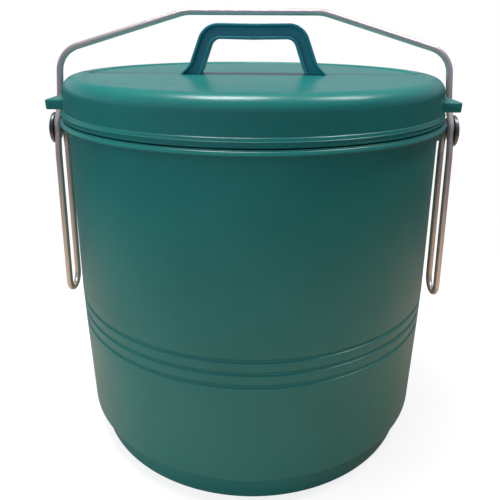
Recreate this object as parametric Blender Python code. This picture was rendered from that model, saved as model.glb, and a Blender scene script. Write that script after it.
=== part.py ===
"""Kitchen compost bin: a round plastic pail with a deep lid and a steel wire bail.

The bail ends in two long loops that hang over headed rivets on the pail's sides.
Drawn up along its loops it is the carrying handle; let down, its grip lies just
over the lid's handle and keeps the lid on.

X runs from side to side through both rivets, -Y is the front, and +Z is up.
The origin is the centre of the base, on the surface that the pail stands on.
"""

from math import acos, cos, degrees, pi, radians, sin, sqrt, tan

import bmesh
import bpy
from mathutils import Vector

MM = 0.001

# Gaps
SEAT_GAP = 0.3 * MM         # between pieces that rest on each other
RUNNING_GAP = 0.3 * MM      # round the rivets, which turn in the pail's bosses

# Pail
PAIL_HEIGHT = 213.0 * MM
RIM_RADIUS = 125.0 * MM
RIM_OVERHANG = 4.8 * MM     # how far the rim stands out from the wall
RIM_HEIGHT = 3.0 * MM
RIM_ROUND = 0.7 * MM
WALL = 2.4 * MM
MOUTH_RADIUS = RIM_RADIUS - RIM_OVERHANG
UPPER_TAPER = 1.3 * MM      # from the mouth down to the grooves
BAND_STEP = 0.9 * MM        # the wall steps in across the three grooves
LOWER_TAPER = 2.8 * MM      # from the grooves down to the heel
HEEL_ROUND = 1.5 * MM
FOOT_HEIGHT = 17.2 * MM
FOOT_INSET = 5.8 * MM       # the foot stands back under the heel
FOOT_TAPER = 0.8 * MM
FOOT_ROUND = 1.2 * MM
FOOT_RING = 5.0 * MM        # flat ring that the pail stands on
BASE_RISE = 2.5 * MM        # the base inside that ring is raised
FLOOR_ROUND = 9.0 * MM

GROOVE_COUNT = 3
GROOVE_HEIGHT = 81.8 * MM   # lowest groove above the base
GROOVE_PITCH = 7.9 * MM
GROOVE_WIDTH = 2.6 * MM
GROOVE_DEPTH = 0.9 * MM
GROOVE_FLOOR = 0.9 * MM     # width of its flat bottom

# Bosses and rivets on the pail's sides
PIVOT_DROP = 12.6 * MM      # below the top of the rim
BOSS_RADIUS = 7.0 * MM
BOSS_REACH = 2.5 * MM       # beyond the rim
SHANK_RADIUS = 3.0 * MM
LOOP_PLAY = 2.4 * MM        # sideways play of the wire between boss and head
BEARING_RADIUS = 4.9 * MM   # the thicker part that the bail's loops ride on
HEAD_RADIUS = 10.6 * MM
HEAD_RIM = 2.2 * MM
HEAD_DOME = 2.2 * MM
HEAD_EDGE = 0.5 * MM
TAIL_RADIUS = 4.2 * MM
TAIL_HEIGHT = 1.2 * MM
WASHER_RADIUS = 6.0 * MM
WASHER_THICKNESS = 0.8 * MM

# Lid
LID_INSET = 2.5 * MM        # skirt inside the rim's edge
LID_GAP = 0.8 * MM          # open line between lid and rim
LID_HEIGHT = 25.7 * MM      # top of the lid above the rim
LID_WALL = 2.2 * MM
SHOULDER_ROUND = 8.5 * MM
BEAD_HEIGHT = 5.0 * MM
BEAD_PROUD = 1.3 * MM
BEAD_FACE = 2.4 * MM        # upright part of the bead, above its sloping underside
BEAD_TUCK = 0.8 * MM        # how far the underside slopes in
BEAD_ROUND = 0.9 * MM
CREASE_WIDTH = 2.0 * MM
CREASE_INSET = 5.0 * MM     # flat margin between the shoulder and the crease
CREASE_DEPTH = 0.9 * MM
PLUG_GAP = 0.8 * MM         # plug wall inside the mouth
PLUG_WALL = 2.0 * MM
PLUG_CLEARANCE = 1.2 * MM   # between the plug wall and the washers below it
REST_RIBS = 12
RIB_THICKNESS = 1.6 * MM

# Ears that the lid is pulled off by, just inside the bail's path
EAR_LENGTH = 27.0 * MM
EAR_AHEAD = 13.0 * MM       # the ear's back edge, in front of the rivets
EAR_HEIGHT = 6.2 * MM
EAR_RISE = 5.7 * MM         # underside above the rim
EAR_ROOT = 0.8 * MM         # depth that an ear is sunk into the skirt
EAR_ROUND = 1.2 * MM
EAR_DRAFT = 0.4 * MM        # the end face leans out towards its top

# Lid handle
HANDLE_RISE = 33.2 * MM
HANDLE_BAR = 10.2 * MM
HANDLE_DEPTH = 17.0 * MM
HANDLE_SAG = 0.5 * MM       # the bar dips a little at its middle
BAR_HALF_WIDTH = 32.4 * MM
FOOT_HALF_WIDTH = 44.2 * MM
FOOT_FLARE = 3.8 * MM
FOOT_FLARE_HEIGHT = 6.0 * MM
INNER_FLARE = 0.6 * MM
INNER_FLARE_HEIGHT = 3.0 * MM
LEG_TOP_WIDTH = 6.0 * MM
LEG_WIDTH = 10.3 * MM
HANDLE_OUTER_ROUND = 14.0 * MM
HANDLE_INNER_ROUND = 7.0 * MM
FLANGE = 1.9 * MM
FLANGE_CHAMFER = 0.6 * MM
WEB_RECESS = 2.6 * MM
WEB_SLOPE = 0.4 * MM
PEG_RADIUS = 3.0 * MM
PEG_HEAD_RADIUS = 5.0 * MM
PEG_HEAD_HEIGHT = 1.4 * MM

# Bail
WIRE = 4.3 * MM
GRIP_GAP = 4.5 * MM         # between the grip and the lid's handle
GRIP_HALF_WIDTH = 45.0 * MM
GRIP_ROUND = 25.0 * MM
BAIL_SHOULDER_DROP = 25.9 * MM
BAIL_SHOULDER_ROUND = 18.0 * MM
BAIL_DRAW_IN = 3.0 * MM     # the sides lean in towards the shoulders
LEG_SPACING = 18.0 * MM     # between the two legs of a loop
LOOP_DROP = 119.5 * MM      # lowest point of the wire's middle below the rivets
LOOP_ROUND_SPARE = 0.01 * MM   # left straight between the two bends under a loop
LEG_JOG = 16.0 * MM         # below the rivets, where a leg starts to draw in
JOG_ROUND = 16.0 * MM
REAR_JOG_END = 4.0 * MM     # below the rivets, where the rear leg turns up to its curl
FRONT_JOG_END = 2.0 * MM    # below the rivets, where the front leg turns upright
BACKBONE_START = 4.0 * MM   # above the rivets, where the front leg leans back
BACKBONE_ROUND = 8.0 * MM
BACKBONE_RISE = 17.0 * MM   # above the rivets, where the wire is back in the middle
BACKBONE_DRAW_IN = 0.6 * MM
CURL_END = 85.0             # degrees round the bearing from the rear
CURL_STEPS = 8

ROUND_STEPS = 64
SMALL_ROUND_STEPS = 20
HANDLE_ROUND_STEPS = 6
ARC_STEP = radians(18.0)    # turn between two points of the bail's route
MERGE = 0.001 * MM          # points closer than this are one
CUT_SPARE = 5.0 * MM        # how far a cutter runs past what it cuts

# Places that follow from the sizes above
PIVOT_HEIGHT = PAIL_HEIGHT - PIVOT_DROP
GROOVE_TOP = GROOVE_HEIGHT + (GROOVE_COUNT - 1) * GROOVE_PITCH
BAND_BOTTOM = GROOVE_HEIGHT - GROOVE_WIDTH
BAND_TOP = GROOVE_TOP + GROOVE_WIDTH
UPPER_RADIUS = MOUTH_RADIUS - UPPER_TAPER
LOWER_RADIUS = UPPER_RADIUS - BAND_STEP
HEEL_RADIUS = LOWER_RADIUS - LOWER_TAPER
FOOT_RADIUS = HEEL_RADIUS - FOOT_INSET
FLOOR_HEIGHT = BASE_RISE + WALL
MOUTH_INSIDE = MOUTH_RADIUS - WALL

BOSS_END = RIM_RADIUS + BOSS_REACH
HEAD_START = BOSS_END + LOOP_PLAY + WIRE + 2 * SEAT_GAP
LOOP_PLANE = HEAD_START - SEAT_GAP - WIRE / 2
CURL_RADIUS = BEARING_RADIUS + SEAT_GAP + WIRE / 2

PLUG_DEPTH = PIVOT_DROP - WASHER_RADIUS - PLUG_CLEARANCE
LID_TOP = PAIL_HEIGHT + LID_HEIGHT
LID_RADIUS = RIM_RADIUS - LID_INSET
PANEL_TOP = LID_TOP - CREASE_DEPTH
PANEL_UNDERSIDE = PANEL_TOP - LID_WALL
SHOULDER_CENTRE = LID_RADIUS - SHOULDER_ROUND
PLUG_OUTSIDE = MOUTH_INSIDE - PLUG_GAP
PLUG_INSIDE = PLUG_OUTSIDE - PLUG_WALL
SKIRT_INSIDE = LID_RADIUS - LID_WALL

EAR_REACH = LOOP_PLANE - BAIL_DRAW_IN - WIRE / 2 - SEAT_GAP

HANDLE_BASE = PANEL_TOP + SEAT_GAP
HANDLE_TOP = PANEL_TOP + HANDLE_RISE
GRIP_HEIGHT = HANDLE_TOP + GRIP_GAP + WIRE / 2


def plain_material(name, colour, roughness, metallic=0.0):
    """A plain material of one colour."""
    material = bpy.data.materials.new(name)
    material.use_nodes = True
    surface = material.node_tree.nodes["Principled BSDF"]
    surface.inputs["Base Color"].default_value = (*colour, 1.0)
    surface.inputs["Roughness"].default_value = roughness
    surface.inputs["Metallic"].default_value = metallic
    return material


def add(name, mesh, material, location=(0.0, 0.0, 0.0), parent=None):
    """Put a finished bmesh into the scene as one smooth-shaded object."""
    bmesh.ops.recalc_face_normals(mesh, faces=mesh.faces)
    data = bpy.data.meshes.new(name)
    mesh.to_mesh(data)
    mesh.free()
    data.materials.append(material)
    data.shade_smooth()
    data.set_sharp_from_angle(angle=radians(30.0))
    item = bpy.data.objects.new(name, data)
    item.location = location
    item.parent = parent
    bpy.context.collection.objects.link(item)
    return item


def boolean(target, tool, operation):
    """Cut the tool from the target, or join it on; the tool itself stays a guide."""
    tool.hide_render = True
    tool.display_type = "WIRE"
    modifier = target.modifiers.new(tool.name, "BOOLEAN")
    modifier.operation = operation
    modifier.object = tool
    modifier.solver = "EXACT"


def arc(centre_radius, centre_height, radius, start, end, steps):
    """Points of a turned profile round a centre, from one angle to another in degrees."""
    points = []
    for step in range(steps + 1):
        angle = radians(start + (end - start) * step / steps)
        points.append((centre_radius + radius * cos(angle), centre_height + radius * sin(angle)))
    return points


def rounded(corners, steps=None):
    """A path through corners (point, radius), with each corner turned into an arc.

    An arc has the given number of steps, or one for each stretch of ARC_STEP.
    """
    path = [Vector(corners[0][0])]
    for before, (corner, radius), after in zip(corners, corners[1:], corners[2:]):
        corner = Vector(corner)
        back = (Vector(before[0]) - corner).normalized()
        ahead = (Vector(after[0]) - corner).normalized()
        half = acos(max(-1.0, min(1.0, back.dot(ahead)))) / 2
        centre = corner + (back + ahead).normalized() * (radius / sin(half))
        begin = corner + back * (radius / tan(half)) - centre
        finish = corner + ahead * (radius / tan(half)) - centre
        turn = pi - 2 * half
        count = steps or max(2, round(turn / ARC_STEP))
        for step in range(count + 1):
            share = step / count
            path.append(
                centre
                + begin * (sin((1 - share) * turn) / sin(turn))
                + finish * (sin(share * turn) / sin(turn))
            )
    path.append(Vector(corners[-1][0]))
    return path


def turned(profile, steps=ROUND_STEPS, closed=False):
    """Turn (radius, height) points about Z into one closed body."""
    mesh = bmesh.new()
    points = [mesh.verts.new((radius, 0.0, height)) for radius, height in profile]
    lines = [mesh.edges.new(pair) for pair in zip(points, points[1:])]
    if closed:
        lines.append(mesh.edges.new((points[-1], points[0])))
    bmesh.ops.spin(
        mesh,
        geom=points + lines,
        cent=(0.0, 0.0, 0.0),
        axis=(0.0, 0.0, 1.0),
        angle=2 * pi,
        steps=steps,
        use_merge=True,
    )
    bmesh.ops.remove_doubles(mesh, verts=mesh.verts, dist=MERGE)
    return mesh


def lofted(sections):
    """Skin equal closed sections in order, and cap both ends."""
    mesh = bmesh.new()
    rings = [[mesh.verts.new(point) for point in section] for section in sections]
    for ring, following in zip(rings, rings[1:]):
        for first, second, third, fourth in zip(
            ring, ring[1:] + ring[:1], following[1:] + following[:1], following
        ):
            mesh.faces.new((first, second, third, fourth))
    mesh.faces.new(rings[0])
    mesh.faces.new(rings[-1])
    return mesh


def groove_points(height, radius):
    """One groove with sloping flanks, bottom to top, where the wall has this radius."""
    bottom = radius - GROOVE_DEPTH
    return [
        (radius, height - GROOVE_WIDTH / 2),
        (bottom, height - GROOVE_FLOOR / 2),
        (bottom, height + GROOVE_FLOOR / 2),
        (radius, height + GROOVE_WIDTH / 2),
    ]


def pail_profile():
    """Half section of the pail, from under the base round the rim to the floor inside."""
    points = [
        (0.0, BASE_RISE),
        (FOOT_RADIUS - FOOT_TAPER - FOOT_RING - BASE_RISE, BASE_RISE),
        (FOOT_RADIUS - FOOT_TAPER - FOOT_RING, 0.0),
    ]
    points += arc(FOOT_RADIUS - FOOT_TAPER - FOOT_ROUND, FOOT_ROUND, FOOT_ROUND, -90, 0, 2)
    points.append((FOOT_RADIUS, FOOT_HEIGHT))
    points += arc(HEEL_RADIUS - HEEL_ROUND, FOOT_HEIGHT + HEEL_ROUND, HEEL_ROUND, -90, 0, 2)
    for number in range(GROOVE_COUNT):
        share = (number + 0.5) / GROOVE_COUNT
        points += groove_points(
            GROOVE_HEIGHT + number * GROOVE_PITCH, LOWER_RADIUS + share * BAND_STEP
        )
    points.append((UPPER_RADIUS, BAND_TOP))
    under_rim = PAIL_HEIGHT - RIM_HEIGHT
    points.append((MOUTH_RADIUS, under_rim))
    points += arc(RIM_RADIUS - RIM_ROUND, under_rim + RIM_ROUND, RIM_ROUND, -90, 0, 2)
    points += arc(RIM_RADIUS - RIM_ROUND, PAIL_HEIGHT - RIM_ROUND, RIM_ROUND, 0, 90, 2)
    points += arc(MOUTH_INSIDE + RIM_ROUND, PAIL_HEIGHT - RIM_ROUND, RIM_ROUND, 90, 180, 2)
    points += [
        (UPPER_RADIUS - WALL, BAND_TOP),
        (LOWER_RADIUS - WALL, BAND_BOTTOM),
        (HEEL_RADIUS - WALL, FOOT_HEIGHT + 2 * WALL),
        (HEEL_RADIUS - 2 * WALL, FOOT_HEIGHT + WALL),
        (FOOT_RADIUS - WALL, FOOT_HEIGHT + WALL),
    ]
    points += arc(
        FOOT_RADIUS - FOOT_TAPER - WALL - FLOOR_ROUND, FLOOR_HEIGHT + FLOOR_ROUND, FLOOR_ROUND, 0, -90, 4
    )
    points.append((0.0, FLOOR_HEIGHT))
    return points


def side_cylinder(name, radius, start, end, side, parent):
    """A guide cylinder along X on one side of the pail, at the rivets' height."""
    mesh = bmesh.new()
    bmesh.ops.create_cone(
        mesh,
        cap_ends=True,
        segments=SMALL_ROUND_STEPS,
        radius1=radius,
        radius2=radius,
        depth=end - start,
    )
    guide = add(name, mesh, parent.data.materials[0], parent=parent)
    guide.location = (side * (start + end) / 2, 0.0, PIVOT_HEIGHT)
    guide.rotation_euler = (0.0, side * pi / 2, 0.0)
    return guide


def build_pail(material):
    """The pail, with a bored boss on each side for the rivets."""
    pail = add("pail", turned(pail_profile()), material)
    for side, label in ((1, "right"), (-1, "left")):
        boss = side_cylinder(
            label + "_boss_guide", BOSS_RADIUS, MOUTH_RADIUS - WALL / 2, BOSS_END, side, pail
        )
        boolean(pail, boss, "UNION")
        bore = side_cylinder(
            label + "_bore_guide",
            SHANK_RADIUS + RUNNING_GAP,
            MOUTH_INSIDE - CUT_SPARE,
            BOSS_END + CUT_SPARE,
            side,
            pail,
        )
        boolean(pail, bore, "DIFFERENCE")
    return pail


def channel_angle():
    """Where the inside of the shoulder starts, in degrees, at the roof of the channel."""
    across = PLUG_OUTSIDE + PLUG_GAP - SHOULDER_CENTRE
    return degrees(acos(across / (SHOULDER_ROUND - LID_WALL)))


def lid_profile():
    """Half section of the lid, from under the panel round the plug and skirt to the top."""
    skirt_bottom = PAIL_HEIGHT + LID_GAP
    bead_radius = LID_RADIUS + BEAD_PROUD
    bead_top = skirt_bottom + BEAD_HEIGHT
    plug_bottom = PAIL_HEIGHT - PLUG_DEPTH
    crease_outside = SHOULDER_CENTRE - CREASE_INSET
    shoulder_height = LID_TOP - SHOULDER_ROUND
    inner_round = SHOULDER_ROUND - LID_WALL
    corner = arc(SHOULDER_CENTRE, shoulder_height, inner_round, channel_angle(), 0, 3)
    return [
        (0.0, PANEL_UNDERSIDE),
        (PLUG_INSIDE, PANEL_UNDERSIDE),
        (PLUG_INSIDE, plug_bottom),
        (PLUG_OUTSIDE - PLUG_GAP, plug_bottom),
        (PLUG_OUTSIDE, plug_bottom + PLUG_GAP),
        (PLUG_OUTSIDE, corner[0][1]),
        *corner,
        (SKIRT_INSIDE, skirt_bottom),
        (bead_radius - BEAD_TUCK, skirt_bottom),
        (bead_radius, bead_top - BEAD_FACE),
        *arc(bead_radius - BEAD_ROUND, bead_top - BEAD_ROUND, BEAD_ROUND, 0, 75, 2),
        (LID_RADIUS, bead_top + BEAD_ROUND / 2),
        *arc(SHOULDER_CENTRE, shoulder_height, SHOULDER_ROUND, 0, 90, 6),
        (crease_outside, LID_TOP),
        (crease_outside - CREASE_WIDTH, PANEL_TOP),
        (0.0, PANEL_TOP),
    ]


def rib_guide(material, parent):
    """The ribs between plug and skirt whose lower ends rest on the rim."""
    inner = PLUG_OUTSIDE - PLUG_WALL / 2
    bottom = PAIL_HEIGHT + SEAT_GAP
    middle_of_wall = SHOULDER_ROUND - LID_WALL / 2
    roof = arc(SHOULDER_CENTRE, LID_TOP - SHOULDER_ROUND, middle_of_wall, 0, channel_angle(), 2)
    outline = [(inner, bottom), (SKIRT_INSIDE + LID_WALL / 2, bottom), *roof, (inner, roof[-1][1])]
    mesh = bmesh.new()
    for number in range(REST_RIBS):
        angle = 2 * pi * (number + 0.5) / REST_RIBS
        along = Vector((cos(angle), sin(angle), 0.0))
        across = Vector((-sin(angle), cos(angle), 0.0)) * RIB_THICKNESS
        edge = [along * radius + Vector((0.0, 0.0, height)) - across / 2 for radius, height in outline]
        face = mesh.faces.new([mesh.verts.new(point) for point in edge])
        raised = bmesh.ops.extrude_face_region(mesh, geom=[face])
        moved = [item for item in raised["geom"] if isinstance(item, bmesh.types.BMVert)]
        bmesh.ops.translate(mesh, vec=across, verts=moved)
    return add("rib_guide", mesh, material, parent=parent)


def ear_section(side, reach, height):
    """Plan outline of an ear at one height, from its end to its root in the skirt."""
    back = -EAR_AHEAD
    front = back - EAR_LENGTH
    sunk = LID_RADIUS - EAR_ROOT
    outline = [
        (reach, front),
        (reach, back),
        (sqrt(sunk**2 - back**2), back),
        (sqrt(sunk**2 - front**2), front),
    ]
    return [Vector((side * x, y, height)) for x, y in outline]


def ear_guide(material, side, label, parent):
    """One ear: a block on the skirt, rounded on its outer edges."""
    bottom = PAIL_HEIGHT + EAR_RISE
    mesh = lofted([
        ear_section(side, EAR_REACH - EAR_DRAFT, bottom),
        ear_section(side, EAR_REACH, bottom + EAR_HEIGHT),
    ])
    outer = [edge for edge in mesh.edges if all(abs(corner.co.x) > LID_RADIUS for corner in edge.verts)]
    bmesh.ops.bevel(mesh, geom=outer, offset=EAR_ROUND, segments=2, profile=0.5, affect="EDGES")
    return add(label + "_ear_guide", mesh, material, parent=parent)


def peg_place():
    """Distance of each handle peg from the middle of the lid."""
    return FOOT_HALF_WIDTH + FOOT_FLARE - FOOT_FLARE_HEIGHT / 2 - LEG_WIDTH / 2


def build_lid(material):
    """The lid: panel, shoulder, skirt and bead, with plug, ribs, ears and peg holes."""
    lid = add("lid", turned(lid_profile()), material)
    boolean(lid, rib_guide(material, lid), "UNION")
    for side, label in ((1, "right"), (-1, "left")):
        boolean(lid, ear_guide(material, side, label, lid), "UNION")
        mesh = bmesh.new()
        bmesh.ops.create_cone(
            mesh,
            cap_ends=True,
            segments=SMALL_ROUND_STEPS,
            radius1=PEG_RADIUS + SEAT_GAP,
            radius2=PEG_RADIUS + SEAT_GAP,
            depth=LID_WALL + 2 * CUT_SPARE,
        )
        place = (side * peg_place(), 0.0, PANEL_TOP - LID_WALL / 2)
        boolean(lid, add(label + "_peg_hole_guide", mesh, material, place, lid), "DIFFERENCE")
    return lid


def handle_rail(bar_half, foot_half, flare, flare_height, top, radius):
    """One edge of the handle from its left foot over the bar to its right foot."""
    slope = (foot_half - bar_half) / (top - HANDLE_BASE)
    knee = foot_half - slope * flare_height
    half = [
        ((foot_half + flare, 0.0, HANDLE_BASE), 0.0),
        ((knee, 0.0, HANDLE_BASE + flare_height), 2 * flare_height),
        ((bar_half, 0.0, top), radius),
    ]
    left = [((-point[0], point[1], point[2]), size) for point, size in half]
    middle = [((0.0, 0.0, top - HANDLE_SAG), bar_half)]
    return rounded(left + middle + half[::-1], HANDLE_ROUND_STEPS)


def handle_section(outer, inner):
    """The I-shaped section between two facing points of the handle's edges."""
    across = inner - outer
    width = across.length
    across.normalize()
    deep = HANDLE_DEPTH / 2
    web = deep - WEB_RECESS
    half = [
        (0.0, deep - FLANGE_CHAMFER),
        (FLANGE_CHAMFER, deep),
        (FLANGE, deep),
        (FLANGE + WEB_SLOPE, web),
        (width - FLANGE - WEB_SLOPE, web),
        (width - FLANGE, deep),
        (width - FLANGE_CHAMFER, deep),
        (width, deep - FLANGE_CHAMFER),
    ]
    whole = half + [(along, -depth) for along, depth in reversed(half)]
    return [outer + across * along + Vector((0.0, depth, 0.0)) for along, depth in whole]


def peg_profile():
    """Half section of a handle peg and the head that is flattened under the lid."""
    head_top = PANEL_UNDERSIDE - SEAT_GAP
    return [
        (0.0, head_top - PEG_HEAD_HEIGHT),
        (PEG_HEAD_RADIUS - PEG_HEAD_HEIGHT / 2, head_top - PEG_HEAD_HEIGHT),
        (PEG_HEAD_RADIUS, head_top - PEG_HEAD_HEIGHT / 2),
        (PEG_HEAD_RADIUS, head_top),
        (PEG_RADIUS, head_top),
        (PEG_RADIUS, HANDLE_BASE + PEG_RADIUS),
        (0.0, HANDLE_BASE + PEG_RADIUS),
    ]


def build_lid_handle(material):
    """The arched handle, flanged round a thin web, with a peg under each foot."""
    outer = handle_rail(
        BAR_HALF_WIDTH, FOOT_HALF_WIDTH, FOOT_FLARE, FOOT_FLARE_HEIGHT, HANDLE_TOP, HANDLE_OUTER_ROUND
    )
    inner = handle_rail(
        BAR_HALF_WIDTH - LEG_TOP_WIDTH,
        FOOT_HALF_WIDTH - LEG_WIDTH,
        INNER_FLARE,
        INNER_FLARE_HEIGHT,
        HANDLE_TOP - HANDLE_BAR,
        HANDLE_INNER_ROUND,
    )
    sections = [handle_section(above, below) for above, below in zip(outer, inner)]
    handle = add("lid_handle", lofted(sections), material)
    for side, label in ((1, "right"), (-1, "left")):
        peg = add(
            label + "_peg_guide",
            turned(peg_profile(), SMALL_ROUND_STEPS),
            material,
            (side * peg_place(), 0.0, 0.0),
            handle,
        )
        boolean(handle, peg, "UNION")
    return handle


def rivet_profile():
    """Half section of a rivet from its clenched tail inside the pail to its domed head."""
    shoulder_start = BOSS_END + SEAT_GAP
    tail_top = washer_place() - SEAT_GAP
    dome_radius = (HEAD_RADIUS**2 + HEAD_DOME**2) / (2 * HEAD_DOME)
    dome_centre = HEAD_START + HEAD_RIM + HEAD_DOME - dome_radius
    dome_edge = degrees(acos(HEAD_RADIUS / dome_radius))
    return [
        (0.0, tail_top - TAIL_HEIGHT),
        (TAIL_RADIUS - TAIL_HEIGHT / 2, tail_top - TAIL_HEIGHT),
        (TAIL_RADIUS, tail_top - TAIL_HEIGHT / 2),
        (TAIL_RADIUS, tail_top),
        (SHANK_RADIUS, tail_top),
        (SHANK_RADIUS, shoulder_start),
        (BEARING_RADIUS, shoulder_start),
        (BEARING_RADIUS, HEAD_START),
        (HEAD_RADIUS - HEAD_EDGE, HEAD_START),
        (HEAD_RADIUS, HEAD_START + HEAD_EDGE),
        *arc(0.0, dome_centre, dome_radius, dome_edge, 90, 4),
    ]


def washer_place():
    """Inner face of a washer, which lies flat against the curved inside of the wall."""
    sagitta = WASHER_RADIUS**2 / (2 * MOUTH_INSIDE)
    draft = UPPER_TAPER * (PIVOT_DROP + WASHER_RADIUS) / (PAIL_HEIGHT - BAND_TOP)
    return MOUTH_INSIDE - sagitta - draft - SEAT_GAP - WASHER_THICKNESS


def washer_profile():
    """Section of the washer that the rivet's tail is clenched on."""
    inner = SHANK_RADIUS + RUNNING_GAP
    low = washer_place()
    return [
        (inner, low),
        (WASHER_RADIUS, low),
        (WASHER_RADIUS, low + WASHER_THICKNESS),
        (inner, low + WASHER_THICKNESS),
    ]


def build_pivots(material, axis):
    """A rivet and its washer on each side, turning about the bail's axis."""
    for side, label in ((1, "right"), (-1, "left")):
        rivet = add(label + "_rivet", turned(rivet_profile(), SMALL_ROUND_STEPS), material, parent=axis)
        washer = add(
            label + "_washer",
            turned(washer_profile(), SMALL_ROUND_STEPS, closed=True),
            material,
            parent=axis,
        )
        rivet.rotation_euler = (0.0, side * pi / 2, 0.0)
        washer.rotation_euler = (0.0, side * pi / 2, 0.0)


def bail_half():
    """Route of the wire from the curl at the right rivet to the middle of the grip.

    Heights are counted from the rivets' axis.
    """
    leg = LEG_SPACING / 2
    under_round = leg - LOOP_ROUND_SPARE
    backbone = LOOP_PLANE - BACKBONE_DRAW_IN
    shoulder = LOOP_PLANE - BAIL_DRAW_IN
    grip = GRIP_HEIGHT - PIVOT_HEIGHT
    route = []
    for step in range(CURL_STEPS):
        angle = radians(CURL_END * (1 - step / CURL_STEPS))
        route.append(Vector((LOOP_PLANE, CURL_RADIUS * cos(angle), CURL_RADIUS * sin(angle))))
    corners = [
        ((LOOP_PLANE, CURL_RADIUS, 0.0), 0.0),
        ((LOOP_PLANE, CURL_RADIUS, -REAR_JOG_END), JOG_ROUND),
        ((LOOP_PLANE, leg, -LEG_JOG), JOG_ROUND),
        ((LOOP_PLANE, leg, -LOOP_DROP), under_round),
        ((LOOP_PLANE, -leg, -LOOP_DROP), under_round),
        ((LOOP_PLANE, -leg, -LEG_JOG), JOG_ROUND),
        ((LOOP_PLANE, -CURL_RADIUS, -FRONT_JOG_END), BACKBONE_ROUND),
        ((LOOP_PLANE, -CURL_RADIUS, BACKBONE_START), BACKBONE_ROUND),
        ((backbone, 0.0, BACKBONE_RISE), BACKBONE_ROUND),
        ((shoulder, 0.0, grip - BAIL_SHOULDER_DROP), BAIL_SHOULDER_ROUND),
        ((GRIP_HALF_WIDTH, 0.0, grip), GRIP_ROUND),
        ((0.0, 0.0, grip), 0.0),
    ]
    return route + rounded(corners)


def build_bail(material, axis):
    """The one-piece wire bail, a tube along its route, on the rivets' axis."""
    half = bail_half()
    route = half + [Vector((-point.x, point.y, point.z)) for point in reversed(half[:-1])]
    curve = bpy.data.curves.new("bail", "CURVE")
    curve.dimensions = "3D"
    curve.bevel_depth = WIRE / 2
    curve.bevel_resolution = 4
    curve.use_fill_caps = True
    spline = curve.splines.new("POLY")
    spline.points.add(len(route) - 1)
    for point, place in zip(spline.points, route):
        point.co = (*place, 1.0)
    curve.materials.append(material)
    bail = bpy.data.objects.new("bail", curve)
    bail.parent = axis
    bpy.context.collection.objects.link(bail)


def main():
    for item in list(bpy.data.objects):
        bpy.data.objects.remove(item)
    green = plain_material("green_plastic", (0.012, 0.17, 0.135), 0.42)
    steel = plain_material("wire_steel", (0.62, 0.57, 0.56), 0.25, 1.0)
    dark_steel = plain_material("rivet_steel", (0.10, 0.12, 0.12), 0.3, 1.0)
    axis = bpy.data.objects.new("bail_axis", None)
    axis.location = (0.0, 0.0, PIVOT_HEIGHT)
    bpy.context.collection.objects.link(axis)
    build_pail(green)
    build_lid(green)
    build_lid_handle(green)
    build_pivots(dark_steel, axis)
    build_bail(steel, axis)


main()
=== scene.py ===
"""Looks of the kitchen compost bin: smooth shells round the frame, finishes, light and camera."""

from math import acos, ceil, cos, degrees, pi, radians, sin, sqrt, tan

import bmesh
import bpy
from mathutils import Matrix, Vector


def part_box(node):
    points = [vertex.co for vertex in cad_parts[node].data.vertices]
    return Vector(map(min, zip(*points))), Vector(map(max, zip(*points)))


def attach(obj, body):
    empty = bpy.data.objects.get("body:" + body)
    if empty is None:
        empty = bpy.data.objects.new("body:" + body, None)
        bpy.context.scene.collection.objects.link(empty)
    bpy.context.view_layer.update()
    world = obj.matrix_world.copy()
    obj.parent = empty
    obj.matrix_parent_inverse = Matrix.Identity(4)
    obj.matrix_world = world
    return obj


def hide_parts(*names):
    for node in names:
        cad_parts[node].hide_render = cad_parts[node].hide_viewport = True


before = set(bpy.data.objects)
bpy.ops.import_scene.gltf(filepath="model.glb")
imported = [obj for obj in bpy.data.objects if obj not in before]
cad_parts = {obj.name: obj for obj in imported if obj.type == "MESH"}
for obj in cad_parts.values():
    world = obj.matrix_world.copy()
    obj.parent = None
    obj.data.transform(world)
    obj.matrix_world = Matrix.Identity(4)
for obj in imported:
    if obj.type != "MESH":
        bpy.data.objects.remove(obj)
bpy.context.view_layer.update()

MM = 0.001

# Sizes read from the frame
_, PAIL_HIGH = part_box("pail")
LID_LOW, LID_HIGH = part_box("lid")
_, HANDLE_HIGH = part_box("lid_handle")
BAIL_LOW, BAIL_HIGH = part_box("bail")
RIVET_LOW, RIVET_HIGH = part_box("right_rivet")
WASHER_LOW, WASHER_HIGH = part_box("right_washer")

SEAT_GAP = 0.3 * MM
RUNNING_GAP = 0.3 * MM

# Small roundings that several pieces share
CRISP_EDGE = 0.1 * MM
CHAMFER_EDGE = 0.15 * MM
SOFT_EDGE = 0.2 * MM
LIP_EDGE = 0.25 * MM

# Pail
PAIL_HEIGHT = PAIL_HIGH.z
RIM_RADIUS = PAIL_HIGH.y
BOSS_END = PAIL_HIGH.x
RIM_OVERHANG = 4.8 * MM
RIM_HEIGHT = 3.0 * MM
RIM_ROUND = 0.5 * MM
RIM_STEP = 1.1 * MM          # how far the rim's face steps back under the lid
RIM_CHAMFER = 0.40 * MM      # the narrow chamfer at the step's foot, across
RIM_DROP = 0.32 * MM         # and down; the face below it leans back
RIM_LAND = 0.8 * MM          # height of the upright part at the rim's foot
RIM_STEP_HEIGHT = 0.6 * MM
UNDER_RIM_ROUND = 0.8 * MM
WALL = 2.4 * MM
MOUTH_RADIUS = RIM_RADIUS - RIM_OVERHANG
UPPER_RADIUS = MOUTH_RADIUS - 1.3 * MM
LOWER_RADIUS = UPPER_RADIUS - 0.9 * MM
HEEL_RADIUS = LOWER_RADIUS - 2.8 * MM
HEEL_ROUND = 1.5 * MM
HEEL_INSIDE_ROUND = 2.0 * MM
FOOT_HEIGHT = 17.2 * MM
FOOT_RADIUS = HEEL_RADIUS - 5.8 * MM
FOOT_TAPER = 0.8 * MM
FOOT_ROUND = 1.2 * MM
FOOT_TOP_ROUND = 0.6 * MM
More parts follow.
